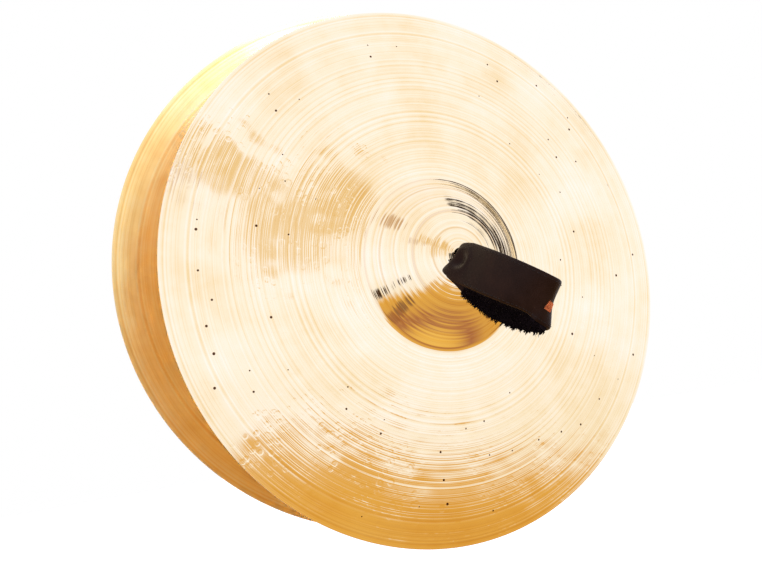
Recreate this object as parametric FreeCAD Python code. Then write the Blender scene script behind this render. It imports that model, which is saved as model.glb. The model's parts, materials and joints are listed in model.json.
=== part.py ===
import FreeCAD, Part
import math
import os

# A pair of orchestral hand cymbals, held ready to play: both stand on edge and face
# each other, with the far one opened like a clam shell so that the two rims are
# nearly touching on the +X side.
#
# Frame: origin at the middle of the front cymbal's hole, on the outer top of its
# bell. +Y runs along the front cymbal's axis, from the bell through the rim to the
# other cymbal. +Z is up. All sizes are in millimetres and degrees.

V = FreeCAD.Vector

# ---- the cymbal ----
RIM_R = 228.6             # 18 inch cymbal
SHEET = 1.2               # thickness of the bronze
HOLE_R = 6.25
BELL_R = 71.4             # radius where the bell meets the bow
BELL_DEPTH = 30.0         # from the top of the bell to that junction
TOTAL_DEPTH = 52.0        # from the top of the bell to the rim's plane
BOW_START_SLOPE = 0.055   # the bow leaves the bell nearly flat
COVE_R = 9.0              # hollow blend between the bell and the bow

# ---- how the far cymbal stands against the near one ----
OPEN_ANGLE = 11.9         # about the vertical
REAR_RIM_CENTRE = V(-22.9, TOTAL_DEPTH + 44.6, 17.5)

# ---- strap ----
BAND_W = 34.0
BAND_T = 2.4
LINING_T = 5.0
LINING_W = 37.0
LOOP_LENGTH = 100.0       # from the pivot to the outside of the far bend
LOOP_HALF = 19.0          # half the outside width of the loop at its widest
BEND_HALF = 13.0          # half the outside width where the far bend starts
SHOULDER_HALF = 13.5      # half the outside width at the shoulder next to the neck
SHOULDER_AT = 18.0        # how far along the loop the shoulder is
FLARE_AT = 8.5            # halfway from the neck to the shoulder
FLARE_HALF = 10.0         # half the outside width there
ROOT_AT = 4.6             # the band starts here, beside the neck's round end
ROOT_HALF = 2.5           # half the outside width there
LINING_START = 20.0       # the fleece starts this far from the pivot
ROOT_W = 12.0             # width of the band beside the neck
TAPER_END = 32.0          # the band has its full width from here on
PIVOT_OUT = 3.5           # the strap bends this far outside the hole
PIVOT_GAP = 0.4           # clearance round the neck's round end
FRONT_ALONG = V(0.228, -0.798, -0.557)
FRONT_WIDTH = V(-0.437, 0.426, -0.791)
REAR_ALONG = V(0.0, 0.866, -0.5)
REAR_WIDTH = V(0.0, -0.5, -0.866)

# ---- neck, washer and knot ----
TAIL_W = 9.0
TAIL_T = 2.4
NECK_SQUARE = 4.0         # each of the four tails, bunched in the hole
NECK_GAP = 0.2
NECK_BALL_R = 5.6
WASHER_R = 22.0
WASHER_T = 2.6
WASHER_HOLE_R = 6.6
WASHER_GAP = 0.3
KNOT_BASE = 7.4           # the knot's underside, measured from the bell's outer top
KNOT_GAP = 1.9            # half of the square opening in the middle of the knot
LAYER_GAP = 0.25
TAIL_SHORT_END = 14.0
TAIL_LONG_END = 27.0
OVER_MARGIN = 1.5         # a tail stays up this far past the tail it crosses
RAMP_DOWN = 4.5           # and comes down to the first layer over this length

# ---- bar tack ----
TACK_ROWS = (-14.0, 0.0, 14.0)    # places round the far bend
TACK_LENGTH = 12.0
TACK_SIZE = 1.1
TACK_OFFSET = 5.0
TACK_GAP = 0.05           # the thread stands this far off the band


def arc(a, b, c):
    return Part.Arc(a, b, c).toShape()


def circle_meet(ca, ra, cb, rb):
    """The meeting point, on the side away from the axis' top, of two circles in XY."""
    gap = (cb - ca).Length
    along = (gap * gap + ra * ra - rb * rb) / (2 * gap)
    across = math.sqrt(ra * ra - along * along)
    u = (cb - ca).normalize()
    side = V(u.y, -u.x, 0)
    one = ca + u * along + side * across
    two = ca + u * along - side * across
    return one if one.y < two.y else two


def point_on(centre, radius, towards):
    return centre + (towards - centre).normalize() * radius


def mid_arc(centre, radius, a, b):
    return point_on(centre, radius, (a + b) * 0.5)


def cymbal_profile():
    """Centres and radii of the bell, cove and bow circles of the outer face."""
    bell_r = (BELL_R ** 2 + BELL_DEPTH ** 2) / (2 * BELL_DEPTH)
    bell_c = V(0, bell_r, 0)
    run = RIM_R - BELL_R
    drop = TOTAL_DEPTH - BELL_DEPTH
    # circle through both ends of the bow with the given slope at its start
    slope = math.atan(BOW_START_SLOPE)
    normal = V(-math.sin(slope), math.cos(slope), 0)
    bow_r = (run ** 2 + drop ** 2) / (2 * (run * normal.x + drop * normal.y))
    bow_c = V(BELL_R, BELL_DEPTH, 0) + normal * bow_r
    cove_c = circle_meet(bell_c, bell_r + COVE_R, bow_c, bow_r + COVE_R)
    return bell_c, bell_r, cove_c, bow_c, bow_r


def face_edges(inset):
    """Edges of one face of the cymbal from the hole to the rim, in the XY half plane."""
    bell_c, bell_r, cove_c, bow_c, bow_r = cymbal_profile()
    bell_r, cove_r, bow_r = bell_r - inset, COVE_R + inset, bow_r - inset
    start = V(HOLE_R, bell_c.y - math.sqrt(bell_r ** 2 - HOLE_R ** 2), 0)
    join_a = point_on(bell_c, bell_r, cove_c)
    join_b = point_on(bow_c, bow_r, cove_c)
    end = V(RIM_R, bow_c.y - math.sqrt(bow_r ** 2 - (RIM_R - bow_c.x) ** 2), 0)
    edges = [
        arc(start, mid_arc(bell_c, bell_r, start, join_a), join_a),
        arc(join_a, mid_arc(cove_c, cove_r, join_a, join_b), join_b),
        arc(join_b, mid_arc(bow_c, bow_r, join_b, end), end),
    ]
    return edges, start, end


def cymbal():
    outer, outer_start, outer_end = face_edges(0)
    inner, inner_start, inner_end = face_edges(SHEET)
    ends = [Part.makeLine(outer_start, inner_start), Part.makeLine(outer_end, inner_end)]
    wire = Part.Wire(Part.__sortEdges__(outer + inner + ends))
    return Part.Face(wire).revolve(V(0, 0, 0), V(0, 1, 0), 360)


def washer():
    """A dished leather disc that follows the inside of the bell."""
    bell_c, bell_r = cymbal_profile()[:2]
    ring = Part.makeCylinder(WASHER_R, 4 * WASHER_R, V(0, 0, 0), V(0, 1, 0))
    ring = ring.cut(Part.makeCylinder(WASHER_HOLE_R, 4 * WASHER_R, V(0, 0, 0), V(0, 1, 0)))
    outer = Part.makeSphere(bell_r - SHEET - WASHER_GAP, bell_c)
    inner = Part.makeSphere(bell_r - SHEET - WASHER_GAP - WASHER_T, bell_c)
    return outer.cut(inner).common(ring).Solids[0]


def neck():
    """Four tails side by side through the hole, with a rounded outer end."""
    pivot = V(0, -PIVOT_OUT, 0)
    depth = KNOT_BASE + PIVOT_OUT + NECK_BALL_R
    limit = Part.makeSphere(NECK_BALL_R, pivot)
    limit = limit.fuse(Part.makeCylinder(3 * NECK_SQUARE, KNOT_BASE + PIVOT_OUT, pivot, V(0, 1, 0)))
    strands = []
    for sx in (-1, 1):
        for sz in (-1, 1):
            x = NECK_GAP / 2 if sx > 0 else -NECK_GAP / 2 - NECK_SQUARE
            z = NECK_GAP / 2 if sz > 0 else -NECK_GAP / 2 - NECK_SQUARE
            low = V(x, KNOT_BASE - depth, z)
            strand = Part.makeBox(NECK_SQUARE, depth, NECK_SQUARE, low)
            strands.append(strand.common(limit).Solids[0])
    return Part.makeCompound(strands)


def knot_tail(turn):
    """One flat tail of the knot: under its neighbour at one end, over the next one."""
    lift = TAIL_T + LAYER_GAP
    over_end = KNOT_GAP + TAIL_W + OVER_MARGIN
    landing = over_end + RAMP_DOWN
    lower = [(-TAIL_SHORT_END, 0), (-KNOT_GAP, 0), (KNOT_GAP, lift), (over_end, lift),
             (landing, LAYER_GAP), (TAIL_LONG_END, LAYER_GAP)]
    outline = [V(u, KNOT_BASE + h, KNOT_GAP) for u, h in lower]
    outline += [V(u, KNOT_BASE + h + TAIL_T, KNOT_GAP) for u, h in reversed(lower)]
    face = Part.Face(Part.makePolygon(outline + outline[:1]))
    bar = face.extrude(V(0, 0, TAIL_W))
    bar.rotate(V(0, 0, 0), V(0, 1, 0), 90 * turn)
    return bar


def loop_wire(inset=0):
    """The loop's outside seen along the band's width: X along the loop, Y across it."""
    start = V(ROOT_AT, ROOT_HALF, 0)
    shoulder = V(SHOULDER_AT, SHOULDER_HALF, 0)
    waist = V(LOOP_LENGTH - BEND_HALF, BEND_HALF, 0)
    tip = V(LOOP_LENGTH, 0, 0)

    def flip(p):
        return V(p.x, -p.y, p.z)

    upper = [
        (start, V(FLARE_AT, FLARE_HALF, 0), shoulder),
        (shoulder, V((shoulder.x + waist.x) / 2, LOOP_HALF, 0), waist),
    ]
    edges = [arc(*points) for points in upper]
    edges.append(arc(waist, tip, flip(waist)))
    edges += [arc(flip(c), flip(b), flip(a)) for a, b, c in reversed(upper)]
    edges.append(Part.makeLine(flip(start), start))
    wire = Part.Wire(Part.__sortEdges__(edges))
    return wire.makeOffset2D(-inset) if inset else wire


def ribbon(outer_inset, inner_inset, width):
    ring = Part.Face(loop_wire(outer_inset)).cut(Part.Face(loop_wire(inner_inset)))
    solid = ring.extrude(V(0, 0, width))
    solid.translate(V(0, 0, -width / 2))
    return solid


def tapered_plan(full_width):
    """A prism that is narrow beside the neck and has its full width from the taper's end on."""
    half, root = full_width / 2, ROOT_W / 2
    far = 2 * LOOP_LENGTH
    plan = [V(0, -root, 0), V(TAPER_END, -half, 0), V(far, -half, 0),
            V(far, half, 0), V(TAPER_END, half, 0), V(0, root, 0)]
    prism = Part.Face(Part.makePolygon(plan + plan[:1])).extrude(V(0, 0, 4 * LOOP_HALF))
    prism.translate(V(0, 0, -2 * LOOP_HALF))
    prism.rotate(V(0, 0, 0), V(1, 0, 0), 90)
    return prism


def strap_band():
    band = ribbon(0, BAND_T, BAND_W).common(tapered_plan(BAND_W))
    return band.cut(Part.makeSphere(NECK_BALL_R + PIVOT_GAP))


def strap_lining():
    pad = ribbon(BAND_T, BAND_T + LINING_T, LINING_W).common(tapered_plan(LINING_W))
    near = Part.makeBox(2 * LINING_START, 4 * LOOP_HALF, 2 * LINING_W)
    near.translate(V(-LINING_START, -2 * LOOP_HALF, -LINING_W))
    return pad.cut(near)


def bar_tack():
    """Three short rows of thread across the outside of the far bend."""
    centre = V(LOOP_LENGTH - BEND_HALF, 0, 0)
    rows = []
    for angle in TACK_ROWS:
        row = Part.makeBox(TACK_SIZE, TACK_SIZE, TACK_LENGTH)
        row.translate(V(LOOP_LENGTH + TACK_GAP, -TACK_SIZE / 2, TACK_OFFSET - TACK_LENGTH / 2))
        row.rotate(centre, V(0, 0, 1), angle)
        rows.append(row)
    return Part.makeCompound(rows)


def loop_placement(pivot, along, width):
    """Loop frame to row frame: X along the loop, Z along the band's width."""
    x = V(along).normalize()
    z = (V(width) - x * V(width).dot(x)).normalize()
    y = z.cross(x)
    matrix = FreeCAD.Matrix(x.x, y.x, z.x, pivot.x, x.y, y.y, z.y, pivot.y,
                            x.z, y.z, z.z, pivot.z, 0, 0, 0, 1)
    return FreeCAD.Placement(matrix)


def hole_side():
    """The pieces that belong to the cymbal's own axis."""
    pieces = {"cymbal": cymbal(), "strap_washer": washer(), "strap_neck": neck()}
    for index in range(4):
        pieces["knot_tail_%d" % (index + 1)] = knot_tail(index)
    return pieces


def strap_side():
    return {"strap_band": strap_band(), "strap_lining": strap_lining(), "bar_tack": bar_tack()}


def rear_placement():
    turn = FreeCAD.Rotation(V(0, 0, 1), 180 - OPEN_ANGLE)
    top = REAR_RIM_CENTRE - turn.multVec(V(0, TOTAL_DEPTH, 0))
    return FreeCAD.Placement(top, turn)


def place(shape, placement):
    return shape.transformed(placement.toMatrix(), True)


def build():
    sides = {"front": FreeCAD.Placement(), "rear": rear_placement()}
    straps = {"front": (FRONT_ALONG, FRONT_WIDTH), "rear": (REAR_ALONG, REAR_WIDTH)}
    nodes = {}
    for side, placement in sides.items():
        pivot = placement.multVec(V(0, -PIVOT_OUT, 0))
        strap = loop_placement(pivot, *straps[side])
        for name, shape in hole_side().items():
            nodes["%s_%s" % (side, name)] = place(shape, placement)
        for name, shape in strap_side().items():
            nodes["%s_%s" % (side, name)] = place(shape, strap)
        print("%s pivot %.2f %.2f %.2f" % (side, pivot.x, pivot.y, pivot.z))
    return nodes


os.makedirs("parts", exist_ok=True)
for node, solid in build().items():
    solid.exportStep("parts/%s.step" % node)
    print("%-22s %2d solids %10.1f mm3" % (node, len(solid.Solids), solid.Volume))
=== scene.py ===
import json
import math
import random

import bpy
import numpy as np
from mathutils import Matrix, Vector

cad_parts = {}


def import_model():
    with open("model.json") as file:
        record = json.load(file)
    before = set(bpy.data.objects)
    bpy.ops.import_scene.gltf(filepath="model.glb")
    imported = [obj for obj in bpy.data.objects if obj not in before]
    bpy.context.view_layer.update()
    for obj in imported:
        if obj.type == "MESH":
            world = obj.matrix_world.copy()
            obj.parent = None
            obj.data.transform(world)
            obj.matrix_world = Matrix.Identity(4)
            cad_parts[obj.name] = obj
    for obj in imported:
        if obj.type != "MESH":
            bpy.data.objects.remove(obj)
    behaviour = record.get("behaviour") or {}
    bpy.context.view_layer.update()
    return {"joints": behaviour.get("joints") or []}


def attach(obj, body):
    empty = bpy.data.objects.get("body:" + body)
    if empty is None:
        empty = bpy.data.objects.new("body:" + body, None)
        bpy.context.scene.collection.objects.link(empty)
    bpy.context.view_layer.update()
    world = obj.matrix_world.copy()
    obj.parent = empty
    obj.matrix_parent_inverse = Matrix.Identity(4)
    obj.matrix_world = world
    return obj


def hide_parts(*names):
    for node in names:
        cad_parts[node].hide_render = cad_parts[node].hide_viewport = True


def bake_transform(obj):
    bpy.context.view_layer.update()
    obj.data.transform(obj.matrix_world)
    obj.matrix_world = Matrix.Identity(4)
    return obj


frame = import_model()

# A pair of orchestral hand cymbals. The work below is in millimetres in each cymbal's own
# frame: its hole's outer mouth at the origin and +Y from the bell towards the rim.
MM = 0.001
RIM_R = 228.6
SHEET = 1.2
HOLE_R = 6.25
BELL_R = 71.4
BELL_DEPTH = 30.0
TOTAL_DEPTH = 52.0
BOW_START_SLOPE = 0.055
COVE_R = 9.0

# The mesh of a cymbal, the lathe's cuts as (pitch, height), and how far the bow waves.
SPOKES = 288
OUTER_BELL_SHARE, INNER_BELL_SHARE = 0.32, 0.26
BELL_CUTS, BOW_CUTS = (3.6, 0.17), (4.8, 0.035)
WARP = 0.06


# ---------------------------------------------------------------- helpers
def new_mesh(name, verts, faces, smooth=True):
    mesh = bpy.data.meshes.new(name)
    mesh.from_pydata([tuple(v) for v in verts], [], faces)
    mesh.update()
    if smooth:
        mesh.polygons.foreach_set("use_smooth", [True] * len(mesh.polygons))
    piece = bpy.data.objects.new(name, mesh)
    bpy.context.scene.collection.objects.link(piece)
    return piece


def joint(name):
    return next(j for j in frame["joints"] if j["name"] == name)


def material(name):
    mat = bpy.data.materials.new(name)
    mat.use_nodes = True
    tree = mat.node_tree
    shader = tree.nodes["Principled BSDF"]
    return mat, tree, shader


def node(tree, kind, **settings):
    made = tree.nodes.new(kind)
    for key, value in settings.items():
        if key in made.inputs:
            made.inputs[key].default_value = value
        else:
            setattr(made, key, value)
    return made


def link(tree, a, b):
    tree.links.new(a, b)


def maths(tree, operation, a, b=None, c=None):
    made = tree.nodes.new("ShaderNodeMath")
    made.operation = operation
    for slot_index, value in enumerate((a, b, c)):
        if value is None:
            continue
        if isinstance(value, (int, float)):
            made.inputs[slot_index].default_value = value
        else:
            link(tree, value, made.inputs[slot_index])
    return made.outputs[0]


def ramp(tree, factor, stops):
    made = tree.nodes.new("ShaderNodeValToRGB")
    elements = made.color_ramp.elements
    while len(elements) < len(stops):
        elements.new(0.5)
    for element, (position, colour) in zip(elements, stops):
        element.position = position
        element.color = (*colour, 1.0)
    link(tree, factor, made.inputs["Fac"])
    return made.outputs["Color"]


def noise(tree, vector, scale, detail, roughness=0.5):
    made = node(tree, "ShaderNodeTexNoise", Scale=scale, Detail=detail, Roughness=roughness)
    link(tree, vector, made.inputs["Vector"])
    return made.outputs["Fac"]


def map_range(tree, value, low, high, to_low=0.0, to_high=1.0, kind="SMOOTHSTEP"):
    """A value carried from the first range to the second and held at both ends."""
    made = node(tree, "ShaderNodeMapRange", interpolation_type=kind)
    link(tree, value, made.inputs["Value"])
    ends = {"From Min": low, "From Max": high, "To Min": to_low, "To Max": to_high}
    for key, number in ends.items():
        made.inputs[key].default_value = number
    return made.outputs["Result"]


def tinted(tree, factor, colour, towards):
    """A colour mixed towards a fixed one."""
    made = node(tree, "ShaderNodeMix", data_type="RGBA")
    link(tree, factor, made.inputs["Factor"])
    link(tree, colour, made.inputs["A"])
    made.inputs["B"].default_value = (*towards, 1)
    return made.outputs["Result"]


def add_bump(tree, shader, height, strength, distance):
    bump = node(tree, "ShaderNodeBump", Strength=strength, Distance=distance)
    link(tree, height, bump.inputs["Height"])
    link(tree, bump.outputs["Normal"], shader.inputs["Normal"])


# ---------------------------------------------------------------- the cymbals' shape
def circle_meet(ca, ra, cb, rb):
    """Where two circles meet, on the outer side of the cymbal."""
    gap = math.hypot(cb[0] - ca[0], cb[1] - ca[1])
    along = (gap * gap + ra * ra - rb * rb) / (2 * gap)
    across = math.sqrt(ra * ra - along * along)
    ux, uy = (cb[0] - ca[0]) / gap, (cb[1] - ca[1]) / gap
    one = (ca[0] + ux * along + uy * across, ca[1] + uy * along - ux * across)
    two = (ca[0] + ux * along - uy * across, ca[1] + uy * along + ux * across)
    return one if one[1] < two[1] else two


def profile():
    bell_r = (BELL_R ** 2 + BELL_DEPTH ** 2) / (2 * BELL_DEPTH)
    bell_c = (0.0, bell_r)
    run, drop = RIM_R - BELL_R, TOTAL_DEPTH - BELL_DEPTH
    slope = math.atan(BOW_START_SLOPE)
    nx, ny = -math.sin(slope), math.cos(slope)
    bow_r = (run ** 2 + drop ** 2) / (2 * (run * nx + drop * ny))
    bow_c = (BELL_R + nx * bow_r, BELL_DEPTH + ny * bow_r)
    cove_c = circle_meet(bell_c, bell_r + COVE_R, bow_c, bow_r + COVE_R)
    return bell_c, bell_r, cove_c, bow_c, bow_r


PROFILE = profile()


def face_depth(r, inset):
    """Depth of a face below the bell's top at radius r."""
    bell_c, bell_r, cove_c, bow_c, bow_r = PROFILE
    bell_r, cove_r, bow_r = bell_r - inset, COVE_R + inset, bow_r - inset
    to_cove = math.hypot(cove_c[0] - bell_c[0], cove_c[1] - bell_c[1])
    join_a = bell_c[0] + (cove_c[0] - bell_c[0]) / to_cove * bell_r
    from_bow = math.hypot(cove_c[0] - bow_c[0], cove_c[1] - bow_c[1])
    join_b = bow_c[0] + (cove_c[0] - bow_c[0]) / from_bow * bow_r
    if r <= join_a:
        return bell_c[1] - math.sqrt(bell_r ** 2 - r ** 2)
    if r <= join_b:
        return cove_c[1] + math.sqrt(cove_r ** 2 - (r - cove_c[0]) ** 2)
    return bow_c[1] - math.sqrt(bow_r ** 2 - (r - bow_c[0]) ** 2)


def ring_radii(count, bell_share):
    """Radii of the mesh's rings, denser over the steep bell."""
    bell_count = round(count * bell_share)
    bow_start = BELL_R + 3
    bell = np.linspace(HOLE_R, bow_start, bell_count, endpoint=False)
    bow = np.linspace(bow_start, RIM_R, count - bell_count)
    return np.concatenate([bell, bow])


def hammer_marks(rng):
    """Centres, radii and depths of the hammer's dents, in rough rings as a hammer works."""
    marks = []
    radius = BELL_R + 14
    while radius < RIM_R - 12:
        turn = rng.uniform(0, 2 * math.pi)
        count = int(2 * math.pi * radius / rng.uniform(24, 30))
        for index in range(count):
            angle = turn + 2 * math.pi * (index + rng.uniform(-0.35, 0.35)) / count
            if rng.random() < 0.3:
                continue
            reach = radius + rng.uniform(-6, 6)
            marks.append((reach * math.cos(angle), reach * math.sin(angle),
                          rng.uniform(5.5, 8.5), rng.uniform(0.10, 0.34)))
        radius += rng.uniform(14, 18)
    return marks


def lathe_groove(r, seed, pitch, height):
    """Height of the lathe's cuts at radii r: rounded ridges of uneven height."""
    rng = np.random.default_rng(seed)
    cuts = int(RIM_R / pitch) + 3
    depth = height * rng.uniform(0.35, 1.0, cuts)
    shift = rng.uniform(-0.22, 0.22, cuts)
    place = r / pitch
    cut = np.floor(place).astype(int)
    u = np.clip((place - cut + shift[cut]), 0, 1)
    return depth[cut] * (1 - (2 * u - 1) ** 2)


def cymbal_piece(name, seed, outer_rings, inner_rings):
    rng = random.Random(seed)
    angles = np.linspace(0, 2 * math.pi, SPOKES, endpoint=False)
    marks = hammer_marks(rng)
    warp_phase = [rng.uniform(0, 2 * math.pi) for _ in range(3)]

    def relief(x, z):
        """How far the hammered sheet sits below the turned shape."""
        total = np.zeros_like(x)
        for mx, mz, reach, depth in marks:
            near = np.exp(-((x - mx) ** 2 + (z - mz) ** 2) / reach ** 2)
            total += depth * near
        r = np.hypot(x, z)
        a = np.arctan2(z, x)
        body = np.clip((r - BELL_R) / 60, 0, 1) * np.clip((RIM_R - r) / 30, 0, 1)
        for waves, phase in zip((2, 3, 5), warp_phase):
            total += WARP * body * np.sin(waves * a + phase + r / 55)
        return total

    def face(radii, inset, groove_sign, groove_seed):
        depth = np.array([face_depth(r, inset) for r in radii])
        bell = radii < BELL_R
        groove = np.where(bell, lathe_groove(radii, groove_seed, *BELL_CUTS),
                          lathe_groove(radii, groove_seed + 1, *BOW_CUTS))
        groove *= np.clip((RIM_R - radii) / 4, 0, 1) * np.clip((radii - HOLE_R) / 4, 0, 1)
        rr, aa = np.meshgrid(radii, angles, indexing="ij")
        x, z = rr * np.cos(aa), rr * np.sin(aa)
        fade = np.clip((RIM_R - rr) / 6, 0, 1)
        y = depth[:, None] + groove_sign * groove[:, None] + relief(x, z) * fade
        return np.stack([x, y, z], axis=-1).reshape(-1, 3)

    outer_r = ring_radii(outer_rings, OUTER_BELL_SHARE)
    inner_r = ring_radii(inner_rings, INNER_BELL_SHARE)[::-1]
    verts = np.concatenate([face(outer_r, 0.0, 1, seed), face(inner_r, SHEET, -1, seed + 7)]) * MM
    rings = outer_rings + inner_rings
    faces = []
    for ring in range(rings):
        low, high = ring * SPOKES, ((ring + 1) % rings) * SPOKES
        for spoke in range(SPOKES):
            after = (spoke + 1) % SPOKES
            faces.append((low + spoke, low + after, high + after, high + spoke))
    piece = new_mesh(name, verts, faces)
    mesh = piece.data
    sharp = set()
    for a, b in ((outer_rings - 1, outer_rings), (rings - 1, 0)):
        sharp.update(range(a * SPOKES, (a + 1) * SPOKES))
        sharp.update(range(b * SPOKES, (b + 1) * SPOKES))
    flags = [e.vertices[0] // SPOKES == e.vertices[1] // SPOKES and e.vertices[0] in sharp
             for e in mesh.edges]
    mesh.attributes.new("sharp_edge", "BOOLEAN", "EDGE").data.foreach_set("value", flags)
    return piece


# ---------------------------------------------------------------- bronze
# Radii in metres: where the tarnish ends, the ball marks start, and the pits start and end.
TARNISH_END = 0.0715
BALLS_START = 0.078
PITS_START, PITS_END = 0.118, 0.214
TARNISH = (0.60, 0.31, 0.10)
PIT_BROWN = (0.10, 0.045, 0.02)


def ball_marks(tree, where, spread, radius, scale, size, deep):
    """Height of the small round marks of the hammer's ball, in clusters."""
    balls = node(tree, "ShaderNodeTexVoronoi", Scale=scale, voronoi_dimensions="2D")
    link(tree, spread, balls.inputs["Vector"])
    bowl = map_range(tree, balls.outputs["Distance"], size * 0.45, size, -deep, 0.0)
    cluster = noise(tree, where, scale / 4.0, 1.0)
    hit = map_range(tree, cluster, 0.47, 0.60, kind="LINEAR")
    marks = maths(tree, "MULTIPLY", bowl, hit)
    return maths(tree, "MULTIPLY", marks, maths(tree, "GREATER_THAN", radius, BALLS_START))


def pit_mask(tree, spread, radius):
    """1 in the few round pits of the bow and 0 elsewhere."""
    cells = node(tree, "ShaderNodeTexVoronoi", Scale=42.0, Randomness=1.0, voronoi_dimensions="2D")
    link(tree, spread, cells.inputs["Vector"])
    chosen = node(tree, "ShaderNodeSeparateColor")
    link(tree, cells.outputs["Color"], chosen.inputs[0])
    dot = maths(tree, "LESS_THAN", cells.outputs["Distance"],
                maths(tree, "MULTIPLY_ADD", chosen.outputs[1], 0.030, 0.018))
    some = maths(tree, "GREATER_THAN", chosen.outputs[0], 0.62)
    band = maths(tree, "MULTIPLY", maths(tree, "GREATER_THAN", radius, PITS_START),
                 maths(tree, "LESS_THAN", radius, PITS_END))
    return maths(tree, "MULTIPLY", maths(tree, "MULTIPLY", dot, some), band)


def bronze_material(name, pits, shades, roughness, anisotropy, relief):
    mat, tree, shader = material(name)
    where = node(tree, "ShaderNodeTexCoord").outputs["Object"]
    split = node(tree, "ShaderNodeSeparateXYZ")
    link(tree, where, split.inputs[0])
    x, z = split.outputs[0], split.outputs[2]
    radius = maths(tree, "SQRT", maths(tree, "ADD", maths(tree, "MULTIPLY", x, x),
                                       maths(tree, "MULTIPLY", z, z)))
    # rings: noise along the radius only, with a little drift round the cymbal
    drift = maths(tree, "MULTIPLY", noise(tree, where, 9.0, 1.0), 0.0012)
    ring_vector = node(tree, "ShaderNodeCombineXYZ")
    link(tree, maths(tree, "ADD", radius, drift), ring_vector.inputs[0])

    def rings(scale, detail):
        return noise(tree, ring_vector.outputs[0], scale, detail, 0.65)

    fine, groove, wide = rings(1500.0, 2.0), rings(440.0, 1.5), rings(160.0, 4.0)
    cloud = noise(tree, where, 14.0, 4.0, 0.6)
    tone = maths(tree, "MULTIPLY_ADD", groove, 0.55, maths(tree, "MULTIPLY", cloud, 0.45))
    colour = ramp(tree, tone, list(zip((0.34, 0.50, 0.64), shades)))
    # brown tarnish left in some of the bell's cuts
    cuts = map_range(tree, rings(270.0, 2.5), 0.47, 0.38)
    on_bell = maths(tree, "LESS_THAN", radius, TARNISH_END)
    tarnish = maths(tree, "MULTIPLY", maths(tree, "MULTIPLY", cuts, on_bell), 0.3)
    colour = tinted(tree, tarnish, colour, TARNISH)
    rough = maths(tree, "MULTIPLY_ADD", fine, 0.06, roughness)
    height = maths(tree, "ADD", maths(tree, "MULTIPLY", fine, 0.16),
                   maths(tree, "MULTIPLY_ADD", wide, 0.4, maths(tree, "MULTIPLY", groove, 1.7)))
    spread = node(tree, "ShaderNodeCombineXYZ")
    link(tree, x, spread.inputs[0])
    link(tree, z, spread.inputs[1])
    for scale, size, deep in ((120.0, 0.32, 0.26), (76.0, 0.27, 0.34)):
        marks = ball_marks(tree, where, spread.outputs[0], radius, scale, size, deep)
        height = maths(tree, "ADD", height, marks)
    if pits:
        pit = pit_mask(tree, spread.outputs[0], radius)
        colour = tinted(tree, pit, colour, PIT_BROWN)
        height = maths(tree, "SUBTRACT", height, maths(tree, "MULTIPLY", pit, 3.0))
    add_bump(tree, shader, height, 1.0, relief)
    tangent = node(tree, "ShaderNodeTangent", direction_type="RADIAL", axis="Y")
    link(tree, colour, shader.inputs["Base Color"])
    link(tree, rough, shader.inputs["Roughness"])
    link(tree, tangent.outputs[0], shader.inputs["Tangent"])
    shader.inputs["Metallic"].default_value = 1.0
    shader.inputs["Anisotropic"].default_value = anisotropy
    return mat


# ---------------------------------------------------------------- leather, fleece, thread
def leather_material(name, dark, light, roughness, grain_scale):
    mat, tree, shader = material(name)
    where = node(tree, "ShaderNodeTexCoord").outputs["Object"]
    patches = noise(tree, where, 60.0, 5.0, 0.6)
    grain = node(tree, "ShaderNodeTexVoronoi", Scale=grain_scale, feature="DISTANCE_TO_EDGE")
    link(tree, where, grain.inputs["Vector"])
    creases = noise(tree, where, 240.0, 3.0, 0.7)
    link(tree, ramp(tree, patches, [(0.35, dark), (0.68, light)]), shader.inputs["Base Color"])
    rough = maths(tree, "MULTIPLY_ADD", patches, 0.3, roughness)
    link(tree, rough, shader.inputs["Roughness"])
    shader.inputs["Specular IOR Level"].default_value = 0.16
    shader.inputs["Specular Tint"].default_value = (1.0, 0.62, 0.48, 1)
    pebbles = maths(tree, "MINIMUM", maths(tree, "MULTIPLY", grain.outputs["Distance"], 6.0), 1.0)
    add_bump(tree, shader, maths(tree, "MULTIPLY_ADD", creases, 0.8, pebbles), 0.45, 0.00012)
    return mat


def fleece_material():
    mat, tree, shader = material("black_fleece")
    where = node(tree, "ShaderNodeTexCoord").outputs["Object"]
    wool = noise(tree, where, 420.0, 4.0, 0.75)
    shade = [(0.3, (0.002, 0.001, 0.0015)), (0.75, (0.010, 0.0055, 0.0065))]
    link(tree, ramp(tree, wool, shade), shader.inputs["Base Color"])
    shader.inputs["Roughness"].default_value = 0.95
    shader.inputs["Specular IOR Level"].default_value = 0.05
    add_bump(tree, shader, wool, 0.8, 0.0006)
    return mat


def thread_material(name, dark, light):
    mat, tree, shader = material(name)
    where = node(tree, "ShaderNodeTexCoord").outputs["Object"]
    twist = node(tree, "ShaderNodeTexWave", Scale=700.0, Distortion=1.5, bands_direction="DIAGONAL")
    link(tree, where, twist.inputs["Vector"])
    link(tree, ramp(tree, twist.outputs["Fac"], [(0.1, dark), (0.8, light)]),
         shader.inputs["Base Color"])
    shader.inputs["Roughness"].default_value = 0.6
    shader.inputs["Specular IOR Level"].default_value = 0.2
    add_bump(tree, shader, twist.outputs["Fac"], 0.6, 0.0001)
    return mat


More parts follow.
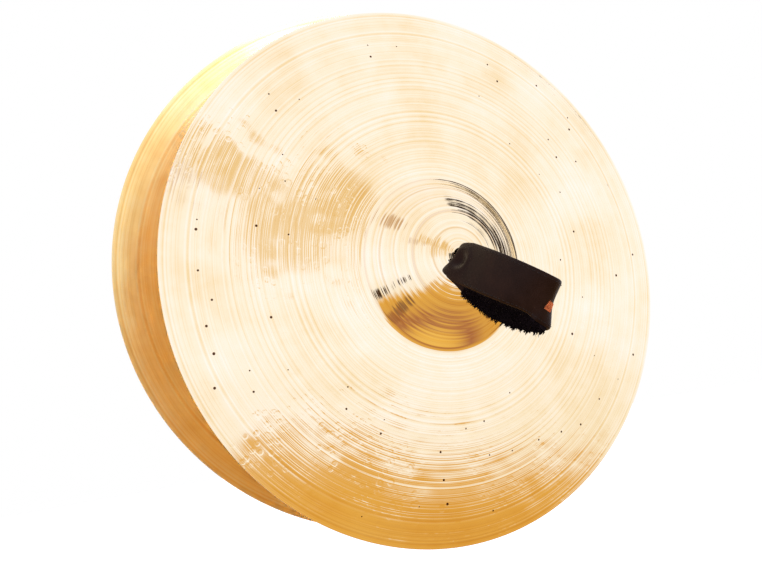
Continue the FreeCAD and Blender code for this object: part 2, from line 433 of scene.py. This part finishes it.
# ---------------------------------------------------------------- strap shapes
def smooth_line(points, spacing):
    """Evenly spaced points on a smooth curve through the given ones, and how far along each is."""
    p = np.array([points[0]] + list(points) + [points[-1]], float)
    fine = []
    for a, b, c, d in zip(p[:-3], p[1:-2], p[2:-1], p[3:]):
        t = np.linspace(0, 1, 40, endpoint=False)[:, None]
        fine.append(0.5 * (2 * b + (c - a) * t + (2 * a - 5 * b + 4 * c - d) * t ** 2
                           + (3 * b - a - 3 * c + d) * t ** 3))
    fine = np.concatenate(fine + [p[-1:]])
    run = np.concatenate([[0], np.cumsum(np.linalg.norm(np.diff(fine, axis=0), axis=1))])
    even = np.linspace(0, run[-1], int(run[-1] / spacing) + 1)
    return np.stack([np.interp(even, run, fine[:, k]) for k in range(3)], axis=1), even


def unit(v):
    return v / np.linalg.norm(v, axis=-1, keepdims=True)


class Ribbon:
    """A band along a line: at(s, v, lift) is a point s mm along it, v from -1 to 1 across it."""

    def __init__(self, points, width_at, across, bend=None, spacing=1.0):
        self.line, self.runs = smooth_line(points, spacing)
        self.length = self.runs[-1]
        self.tangent = unit(np.gradient(self.line, axis=0))
        side = np.array([across(p) for p in self.line], float)
        side -= self.tangent * np.sum(side * self.tangent, axis=1, keepdims=True)
        self.side = unit(side)
        self.out = np.cross(self.side, self.tangent)
        self.half = np.array([width_at(s, self.length) for s in self.runs]) / 2
        self.bend = bend

    def pick(self, table, s):
        if table.ndim == 1:
            return np.interp(s, self.runs, table)
        return np.stack([np.interp(s, self.runs, table[:, k]) for k in range(3)], axis=-1)

    def at(self, s, v, lift):
        s, v, lift = np.broadcast_arrays(np.asarray(s, float), v, lift)
        half = self.pick(self.half, s)
        extra = self.bend(s, v * half, self.length) if self.bend else 0.0
        point = self.pick(self.line, s)
        point = point + self.pick(self.side, s) * (v * half)[..., None]
        return point + self.pick(self.out, s) * (lift + extra)[..., None]


def section(count, edge):
    """A rounded slab's outline: how far across (-1 to 1) and how high (-1 to 1), once round."""
    turn = np.linspace(0, math.pi, count)
    v = -np.cos(turn)
    v = np.sign(v) * np.abs(v) ** 0.75
    k = np.clip(1 - np.abs(v) ** edge, 0, 1) ** 0.5
    return np.concatenate([v, v[::-1][1:-1]]), np.concatenate([k, -k[::-1][1:-1]])


def tube_faces(rings, sides):
    """The faces of a tube of points, closed at both ends."""
    faces = [(i * sides + j, i * sides + (j + 1) % sides, (i + 1) * sides + (j + 1) % sides,
              (i + 1) * sides + j) for i in range(rings - 1) for j in range(sides)]
    faces.append(tuple(range(sides))[::-1])
    faces.append(tuple((rings - 1) * sides + j for j in range(sides)))
    return faces


def slab(ribbon, start, end, middle, thick, edge, across, round_ends, shift=0.0, crown=None):
    """A closed solid along part of a ribbon, its middle surface lifted by `middle`."""
    v, k = section(across, edge)
    count = max(6, int((end - start) / 1.2))
    s = np.linspace(start, end, count)
    from_end = np.minimum(s - start, end - s) / round_ends
    close = np.sqrt(np.clip(1 - (1 - np.clip(from_end, 0, 1)) ** 2, 0.02, 1))
    ss, vv = np.meshgrid(s, v, indexing="ij")
    thickness = thick * close[:, None] * (crown(ss, vv) if crown else 1.0)
    lift = middle + k[None, :] * thickness / 2
    grid = ribbon.at(ss, vv + shift, lift)
    return grid.reshape(-1, 3), tube_faces(count, len(v))


def tube_points(path, radius, sides=6):
    """Rings of a thin closed tube along a few points."""
    path = np.asarray(path, float)
    along = unit(np.gradient(path, axis=0))
    ref = np.where(np.abs(along[:, 2:3]) < 0.9, [[0, 0, 1.0]], [[1.0, 0, 0]])
    one = unit(np.cross(along, ref))
    two = np.cross(along, one)
    turn = np.linspace(0, 2 * math.pi, sides, endpoint=False)
    swell = np.full(len(path), radius)
    swell[[0, -1]] *= 0.35
    rings = path[:, None] + swell[:, None, None] * (
        one[:, None] * np.cos(turn)[None, :, None] + two[:, None] * np.sin(turn)[None, :, None])
    return rings.reshape(-1, 3), tube_faces(len(path), sides)


def many(parts):
    """Several small shapes as one list of points and faces."""
    points, faces, base = [], [], 0
    for p, f in parts:
        points.append(p)
        faces += [tuple(base + i for i in face) for face in f]
        base += len(p)
    return np.concatenate(points), faces


def loop_matrix(pivot, along, width):
    """The loop's frame: X out along the loop, Z along the band's width."""
    x = Vector(along).normalized()
    z = (Vector(width) - x * Vector(width).dot(x)).normalized()
    y = z.cross(x)
    made = Matrix((x, y, z)).transposed().to_4x4()
    made.translation = pivot
    return made


def put(points, matrix):
    m = np.array(matrix)
    return points @ m[:3, :3].T + m[:3, 3]


def above_bell(points, place, gap):
    """Push points of the strap out of the bell they rest on."""
    m = np.array(place)
    local = (points - m[:3, 3]) @ m[:3, :3] / MM
    r = np.hypot(local[:, 0], local[:, 2])
    depth = np.array([face_depth(min(max(q, HOLE_R), RIM_R), 0.0) for q in r])
    outside = r > HOLE_R - 0.5
    local[:, 1] = np.where(outside, np.minimum(local[:, 1], depth - gap), local[:, 1])
    return local * MM @ m[:3, :3].T + m[:3, 3]


# The loop in its own frame: X out along the loop, Y across it, Z along the band's width. "turn"
# is how far the band leans at the hole and at its far bend, in degrees, and "dimple" is the
# depth of the hollow near the hole.
STRAPS = {
    "front": {
        "along": (0.228, -0.798, -0.557), "width": (-0.437, 0.426, -0.791),
        "line": [(-2, 8.5, 5.5), (3, 11.0, 5), (11, 12.4, 4.5), (22, 13.8, 3.8),
                 (42, 17.4, 2.5), (62, 17.2, 1.2), (80, 13.8, 0), (89.5, 8, 0), (93, 0, 1),
                 (90, -8.5, 4), (78, -13.5, 10), (60, -16.0, 15), (42, -14.5, 16.5),
                 (25, -9.5, 14), (12, -3.0, 11), (4, 1.5, 9.5), (-2, 2.5, 9)],
        "turn": (-15.0, 22.0), "dimple": 5.0, "seed": 3,
    },
    "rear": {
        "along": (0.0, 0.866, -0.5), "width": (0.0, -0.5, -0.866),
        "line": [(-6, 9.0, 0), (0, 10.8, 0), (9, 12.2, 0), (20, 13.6, 0), (42, 17.2, 0),
                 (62, 17.0, 1), (80, 14.0, 2), (92, 9, 2), (97.5, 0, 1), (92, -9, 0),
                 (78, -13.8, 0), (60, -16.8, -1), (42, -16.0, -1), (25, -11.0, 0),
                 (12, -4.5, 1), (4, 0, 1), (-2, 1.5, 1)],
        "turn": (5.0, -7.0), "dimple": 3.4, "seed": 5,
    },
}
# The band's width and thickness, the lining's thickness, and where the band's turn ends on X.
BAND_W, BAND_T = 34.0, 2.4
LINING_T = 5.0
TURN_END = 95.0
# Places along the band; a stop is measured back from the band's other end.
DIMPLE_AT = 13.0
PAD_START, PAD_STOP = 27.0, 21.0
SEAM_START, SEAM_STOP, SEAM_PITCH = 29.0, 27.0, 3.6
# How far the pad sits to one side, as a share of half its width, and the counts of its pile
# and of the bar tack's thread.
PAD_SHIFT = 0.09
TUFTS = 7500
TACK_ROWS, TACK_STEPS = 5, 13
# The hinge's height over the cymbal, in millimetres.
PIVOT_OUT = 3.5
# Depths inside the bell of the neck's end and of the knot's lowest tail, and the tails' steps.
NECK_DEPTH = 7.6
KNOT_FLOOR = 7.4 + 1.2
TAIL_LIFT, TAIL_LANDING, TAIL_OFFSET = 2.65, 0.25, 6.4


def strap_ribbon(facts):
    low, high = facts["turn"]

    def across(p):
        turn = math.radians(low + (high - low) * min(max(p[0], 0), TURN_END) / TURN_END)
        return (0, -math.sin(turn), math.cos(turn))

    def width_at(s, length):
        near = min(1, 0.74 + 0.26 * (min(s, 16) / 16) ** 0.6)
        far = 0.74 + 0.16 * min(1, (length - s) / 22) + 0.10 * min(1, max(0, length - s - 70) / 25)
        return BAND_W * min(near, far)

    def bend(s, q, length):
        dimple = -facts["dimple"] * np.exp(-((s - DIMPLE_AT) / 5.5) ** 2 - (q / 5.5) ** 2)
        pucker = -3.4 * np.exp(-(s / 5.0) ** 2 - (q / 7.0) ** 2)
        rim = 0.8 * np.exp(-((np.hypot(s - DIMPLE_AT, q) - 9.0) / 2.4) ** 2)
        curl = -1.3 * (np.abs(q) / (BAND_W / 2)) ** 3
        ripple = 0.35 * np.sin(s / 9.0 + q / 14.0) * np.clip(s / 30, 0, 1)
        return dimple + pucker + rim + curl + ripple

    return Ribbon(facts["line"], width_at, across, bend)


def tufts(ribbon, start, end, rng, count):
    """The fleece's pile: bent tapering locks standing off the pad's inner face and edges."""
    points, faces = [], []
    per_tuft = 7
    s = rng.uniform(start, end, count)
    v = rng.uniform(-0.80, 1.10, count)
    base_lift = -BAND_T / 2 - LINING_T * np.where(np.abs(v) > 0.97, rng.uniform(0.1, 0.9, count),
                                                  0.86)
    root = ribbon.at(s, v, base_lift)
    inward = -ribbon.pick(ribbon.out, s)
    side = ribbon.pick(ribbon.side, s)
    lean = side * (np.sign(v) * np.clip((v - 0.7) / 0.3, -0.1, 1) * 1.5)[:, None]
    aim = unit(inward + lean + rng.normal(0, 0.45, (count, 3)))
    length = rng.uniform(1.6, 3.6, count)[:, None]
    curl = rng.normal(0, 0.5, (count, 3))
    one = unit(np.cross(aim, rng.normal(0, 1, (count, 3))))
    two = np.cross(aim, one)
    thick = rng.uniform(0.35, 0.7, count)[:, None]
    for ring, (reach, size) in enumerate(((0.0, 1.0), (0.55, 0.8))):
        centre = root + aim * length * reach + curl * length * reach ** 2 * 0.5
        for corner in range(3):
            turn = 2 * math.pi * corner / 3 + ring
            points.append(centre + (one * math.cos(turn) + two * math.sin(turn)) * thick * size)
    points.append(root + aim * length + curl * length * 0.5)
    stacked = np.stack(points, axis=1)
    for index in range(count):
        b = index * per_tuft
        for corner in range(3):
            after = (corner + 1) % 3
            faces.append((b + corner, b + after, b + 3 + after, b + 3 + corner))
            faces.append((b + 3 + corner, b + 3 + after, b + 6))
        faces.append((b + 2, b + 1, b))
    return stacked.reshape(-1, 3), faces


def make_strap(side, facts, place, inks):
    rng = np.random.default_rng(facts["seed"])
    pivot = place @ Vector((0, -PIVOT_OUT * MM, 0))
    loop = loop_matrix(pivot, facts["along"], facts["width"])
    ribbon = strap_ribbon(facts)
    length = ribbon.length

    def finish(name, points, faces, ink, slot_name, rest_gap=0.35):
        piece = new_mesh(side + name, above_bell(put(points * MM, loop), place, rest_gap), faces)
        piece.data.materials.append(ink)
        # the bronze doesn't mirror the strap
        piece.visible_glossy = False
        return piece

    band = finish("_band", *slab(ribbon, 0, length, 0, BAND_T, 14, across=25, round_ends=3.0),
                  inks["strap"], "strap")
    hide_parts(side + "_strap_band")

    # six are drawn and two are used
    wave = rng.uniform(0, 6.28, 6)

    def crown(s, v):
        lumps = 0.09 * np.sin(s / 3.1 + 4 * v + wave[0]) + 0.07 * np.sin(s / 1.9 - 7 * v + wave[1])
        return 0.86 + 0.22 * (1 - np.abs(v) ** 2.5) + lumps

    start, end = PAD_START, length - PAD_STOP
    pad = slab(ribbon, start, end, -BAND_T / 2 - LINING_T / 2 - 0.1, LINING_T, 6, across=29,
               round_ends=4.0, shift=PAD_SHIFT, crown=crown)
    lining = finish("_fleece_pad", *pad, inks["fleece"], "fleece", rest_gap=1.0)
    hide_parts(side + "_strap_lining")
    pile = finish("_fleece_pile", *tufts(ribbon, start + 1, end - 1, rng, TUFTS), inks["fleece"],
                  "fleece", rest_gap=1.0)

    stitches = []
    for edge in (-0.87, 0.87):
        for s in np.arange(SEAM_START, length - SEAM_STOP, SEAM_PITCH):
            reach = np.array([0, 0.5, 1.25, 2.0, 2.5])
            rise = BAND_T / 2 + np.array([-0.25, 0.12, 0.22, 0.12, -0.25])
            stitches.append(tube_points(ribbon.at(s + reach, edge, rise), 0.32))
    seam = finish("_edge_stitching", *many(stitches), inks["black_thread"], "thread")

    middle = length * 0.5
    rows = []
    for row in range(TACK_ROWS):
        s = middle - 3.5 + row * 1.4
        zigzag = np.linspace(-0.05, 0.38, TACK_STEPS)
        wobble = 0.5 * np.where(np.arange(TACK_STEPS) % 2, 1, -1)
        rise = BAND_T / 2 + 0.32 + 0.12 * rng.uniform(-1, 1, TACK_STEPS)
        rows.append(tube_points(ribbon.at(s + wobble, zigzag, rise), 0.42))
    tack = finish("_tack_thread", *many(rows), inks["tack"], "thread")
    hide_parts(side + "_bar_tack")

    for piece in (band, seam):
        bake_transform(piece)
    for piece in (lining, pile, tack):
        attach(piece, side + "_strap")
    return loop


def make_neck(side, place, loop, inks):
    """The four tails side by side, from the loop's two ends through the hole."""
    to_cymbal = place.inverted() @ loop
    roots = {1: Vector((5, 8.0, 1)), -1: Vector((5, 0.5, 5))}
    parts = []
    for sx in (-1, 1):
        for sz in (-1, 1):
            leg = 1 if (sx < 0) == (side == "front") else -1
            root = (to_cymbal.to_3x3() @ (roots[leg] * MM)) / MM + to_cymbal.translation / MM
            spread = (to_cymbal.to_3x3() @ Vector((0, 0, 1))) * 4.0 * (1 if sz < 0 else -1)
            top = root + spread
            low = np.array([2.1 * sx, NECK_DEPTH, 2.1 * sz])
            mouth = np.array([2.2 * sx, -0.5, 2.2 * sz])
            line = [low, (low + mouth) / 2, mouth,
                    (mouth * 1.1 + np.array(top) * 0.9) / 2 + np.array([0, -1.2, 0]), np.array(top)]
            strand = Ribbon(line, lambda s, length: 3.9 + 2.6 * (s / length) ** 2,
                            lambda p: (0, 0, 1), spacing=0.7)
            parts.append(slab(strand, 0, strand.length, 0, 3.3, 5, across=9, round_ends=1.2))
    points, faces = many(parts)
    neck = new_mesh(side + "_neck", put(points * MM, place), faces)
    neck.data.materials.append(inks["strap"])
    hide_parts(side + "_strap_neck")
    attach(neck, side + "_knot")


def make_knot(side, place, inks):
    """The same four tails laid over and under each other inside the bell."""
    low, high, landed = KNOT_FLOOR, KNOT_FLOOR + TAIL_LIFT, KNOT_FLOOR + TAIL_LANDING
    route = [(-14, low), (-8, low), (-2.6, low + 0.05), (2.6, high), (7, high + 0.1), (12, high),
             (17, landed), (22, landed), (27, landed)]
    line = [(x, depth, TAIL_OFFSET) for x, depth in route]
    for turn in range(4):
        tail = Ribbon(line, lambda s, length: 8.8 - 1.6 * (s / length) ** 6,
                      lambda p: (0, 0, 1), spacing=0.7)
        points, faces = slab(tail, 0, tail.length, 0, 2.3, 9, across=13, round_ends=1.0)
        spun = Matrix.Rotation(math.radians(90 * turn), 4, "Y")
        piece = new_mesh("%s_tail_%d" % (side, turn + 1), put(points * MM, place @ spun), faces)
        piece.data.materials.append(inks["strap"])
        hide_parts("%s_knot_tail_%d" % (side, turn + 1))
        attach(piece, side + "_knot")


def colour_washer(side, inks):
    washer = bpy.data.objects[side + "_strap_washer"]
    washer.data.materials.clear()
    washer.data.materials.append(inks["washer"])


# ---------------------------------------------------------------- places
FRONT = Matrix.Identity(4)
spin = joint("rear_spin")
REAR_TOP = Vector(spin["pos_m"])
REAR_OUT = Vector(spin["axis"]).normalized()
rear_y = -REAR_OUT
rear_z = Vector((0, 0, 1))
rear_x = rear_y.cross(rear_z)
REAR = Matrix((rear_x, rear_y, rear_z)).transposed().to_4x4()
REAR.translation = REAR_TOP

# One bronze in two colour copies: the outer faces' copy is paler than the alloy as painted
# highlight, and the inner faces' deeper golden copy is painted shade between the two plates.
PALE_PAINTED_HIGHLIGHT = ((0.86, 0.64, 0.29), (0.96, 0.825, 0.54), (0.985, 0.90, 0.69))
GOLDEN_PAINTED_SHADE = ((0.82, 0.51, 0.14), (0.94, 0.73, 0.28), (0.98, 0.86, 0.45))
bronze_outer = bronze_material("bronze_outer", pits=True, shades=PALE_PAINTED_HIGHLIGHT, roughness=0.03,
                               anisotropy=0.25, relief=0.00012)
bronze_inner = bronze_material("bronze_inner", pits=False, shades=GOLDEN_PAINTED_SHADE, roughness=0.32,
                               anisotropy=0.6, relief=0.000008)
# Each cymbal's mesh has more rings on the face that shows.
for side, place, seed, rings in (("front", FRONT, 11, (240, 98)), ("rear", REAR, 23, (140, 198))):
    plate = cymbal_piece(side + "_bronze", seed, *rings)
    plate.matrix_world = place
    plate.data.materials.append(bronze_outer)
    plate.data.materials.append(bronze_inner)
    outer_faces = (rings[0] - 1) * SPOKES
    inside = [int(p.index >= outer_faces) for p in plate.data.polygons]
    plate.data.polygons.foreach_set("material_index", inside)
    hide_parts(side + "_cymbal")
    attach(plate, side + "_cymbal")

inks = {
    "strap": leather_material("strap_leather", (0.005, 0.002, 0.0015), (0.013, 0.0055, 0.0035), 0.26,
                              900.0),
    "washer": leather_material("washer_leather", (0.10, 0.045, 0.020), (0.24, 0.12, 0.055), 0.5,
                               700.0),
    "fleece": fleece_material(),
    "black_thread": thread_material("black_thread", (0.004, 0.002, 0.002), (0.014, 0.008, 0.007)),
    "tack": thread_material("red_thread", (0.42, 0.07, 0.02), (0.80, 0.22, 0.06)),
}
for side, place in (("front", FRONT), ("rear", REAR)):
    loop = make_strap(side, STRAPS[side], place, inks)
    make_neck(side, place, loop, inks)
    make_knot(side, place, inks)
    colour_washer(side, inks)

# ---------------------------------------------------------------- studio
CAMERA_AT = Vector((-0.3778, -0.6462, -0.1101))
CAMERA_AZIMUTH, CAMERA_ELEVATION, CAMERA_ROLL = -25.272, -7.635, -9.229
LENS, SENSOR = 44.882, 36.0
FLOOR_Z = -0.75
FLOOR_HALF = 14.0


def direction(azimuth, elevation):
    a, e = math.radians(azimuth), math.radians(elevation)
    return Vector((math.sin(a) * math.cos(e), -math.cos(a) * math.cos(e), math.sin(e)))


def camera():
    data = bpy.data.cameras.new("camera")
    data.lens, data.sensor_width = LENS, SENSOR
    data.clip_start, data.clip_end = 0.02, 60
    cam = bpy.data.objects.new("camera", data)
    bpy.context.scene.collection.objects.link(cam)
    back = direction(CAMERA_AZIMUTH, CAMERA_ELEVATION)
    roll = Matrix.Rotation(math.radians(CAMERA_ROLL), 4, "Z").to_quaternion()
    cam.rotation_mode = "QUATERNION"
    cam.rotation_quaternion = (-back).to_track_quat("-Z", "Y") @ roll
    cam.location = CAMERA_AT
    bpy.context.scene.camera = cam


WORLD_STRENGTH = 1.5
# The studio's colour by elevation in degrees: warm boards low down, white cloth above.
STUDIO_BANDS = [
    (-90, (0.95, 0.60, 0.15)), (-62, (0.82, 0.48, 0.12)), (-50, (0.44, 0.18, 0.09)),
    (-38, (0.70, 0.38, 0.10)), (-24, (0.80, 0.45, 0.10)), (-17, (1.02, 0.98, 1.02)),
    (0, (1.09, 1.09, 1.28)), (40, (1.09, 1.08, 1.26)), (90, (1.06, 1.02, 1.12)),
]
GOLD_CARD = (0.86, 0.60, 0.24)
WARM_CARD = (0.80, 0.45, 0.10)
BROWN_CARD = (0.55, 0.30, 0.10)
DARK_CARD = (0.07, 0.035, 0.02)
BLACK_CARD = (0.03, 0.015, 0.01)
# Soft-edged cards in it: azimuth, elevation, half width in degrees, share, colour.
STUDIO_CARDS = [
    # gold in front, above and below
    (0, 26, 4, 0.8, GOLD_CARD),
    (7, 15, 5.5, 0.7, GOLD_CARD),
    (17, 18, 4, 0.85, GOLD_CARD),
    (23, 8, 3.5, 0.45, (0.88, 0.64, 0.28)),
    (-1, -19, 6, 0.9, WARM_CARD),
    (11, -21, 6, 0.9, WARM_CARD),
    # brown above and dark below on the left, and one more low on the right
    (-12, 27, 3, 0.5, BROWN_CARD),
    (-34, 52, 7, 0.7, BROWN_CARD),
    (-53, -15, 4.5, 1, DARK_CARD),
    (-30, -8, 3, 1, DARK_CARD),
    (-35, -32, 6, 0.7, (0.12, 0.05, 0.06)),
    (-46, -40, 6, 0.7, (0.30, 0.10, 0.06)),
    (76, -28, 5, 0.8, (0.30, 0.09, 0.04)),
    # black, in an arc that climbs on the right
    (88, 9, 6.5, 1, BLACK_CARD),
    (83, 18, 6.5, 1, BLACK_CARD),
    (78, 27, 6, 1, BLACK_CARD),
    (74, 36, 5.5, 1, BLACK_CARD),
    (70, 44, 4.5, 1, BLACK_CARD),
    (65, 51, 3.5, 1, BLACK_CARD),
]


def world():
    made = bpy.data.worlds.new("studio")
    bpy.context.scene.world = made
    made.use_nodes = True
    tree = made.node_tree
    background = tree.nodes["Background"]
    where = node(tree, "ShaderNodeTexCoord")
    split = node(tree, "ShaderNodeSeparateXYZ")
    link(tree, where.outputs["Generated"], split.inputs[0])
    height = maths(tree, "MULTIPLY_ADD", split.outputs[2], 0.5, 0.5)
    stops = [(math.sin(math.radians(elevation)) * 0.5 + 0.5, [c / WORLD_STRENGTH for c in band])
             for elevation, band in STUDIO_BANDS]
    colour = ramp(tree, height, stops)
    for azimuth, elevation, half, share, card in STUDIO_CARDS:
        dot = node(tree, "ShaderNodeVectorMath", operation="DOT_PRODUCT")
        link(tree, where.outputs["Generated"], dot.inputs[0])
        dot.inputs[1].default_value = direction(azimuth, elevation)
        outer, inner = math.radians(half * 1.35), math.radians(half * 0.65)
        edge = map_range(tree, dot.outputs["Value"], math.cos(outer), math.cos(inner), 0.0, share)
        colour = tinted(tree, edge, colour, [c / WORLD_STRENGTH for c in card])
    link(tree, colour, background.inputs["Color"])
    background.inputs["Strength"].default_value = WORLD_STRENGTH
    rays = node(tree, "ShaderNodeLightPath")
    seen = node(tree, "ShaderNodeBackground", Color=(1, 1, 1, 1), Strength=1.0)
    mix = node(tree, "ShaderNodeMixShader")
    link(tree, rays.outputs["Is Camera Ray"], mix.inputs[0])
    link(tree, background.outputs[0], mix.inputs[1])
    link(tree, seen.outputs[0], mix.inputs[2])
    link(tree, mix.outputs[0], tree.nodes["World Output"].inputs["Surface"])


def floor():
    corners = ((-1, -1), (1, -1), (1, 1), (-1, 1))
    verts = [(x * FLOOR_HALF, y * FLOOR_HALF, FLOOR_Z) for x, y in corners]
    plane = new_mesh("floor", verts, [(0, 1, 2, 3)], smooth=False)
    mat, tree, shader = material("pale_floor")
    shader.inputs["Base Color"].default_value = (0.9, 0.9, 0.9, 1)
    shader.inputs["Roughness"].default_value = 0.9
    shader.inputs["Emission Color"].default_value = (1, 1, 1, 1)
    shader.inputs["Emission Strength"].default_value = 0.45
    plane.data.materials.append(mat)
    plane.visible_glossy = False


def soft_spot(name, aim, azimuth, elevation, distance, radius, beam, power):
    """A soft-edged spot light that aims at a point from the given direction."""
    data = bpy.data.lights.new(name, "SPOT")
    data.shadow_soft_size, data.energy = radius, power
    data.spot_size, data.spot_blend = math.radians(beam), 1.0
    data.color = (1.0, 0.92, 1.5)
    lamp = bpy.data.objects.new(name, data)
    bpy.context.scene.collection.objects.link(lamp)
    back = direction(azimuth, elevation)
    lamp.location = Vector(aim) + back * distance
    lamp.rotation_mode = "QUATERNION"
    lamp.rotation_quaternion = (-back).to_track_quat("-Z", "Y")
    return lamp


camera()
world()
# This light reaches the far cymbal only, whose hollow side the world alone leaves too dark.
left_light = soft_spot("left_spot", aim=(-0.24, 0.13, 0.12), azimuth=-50, elevation=-8,
                       distance=1.6, radius=0.3, beam=14, power=2300)
lit = bpy.data.collections.new("lit_by_left_spot")
lit.objects.link(bpy.data.objects["rear_bronze"])
left_light.light_linking.receiver_collection = lit
floor()
bpy.context.scene.view_settings.view_transform = "Standard"
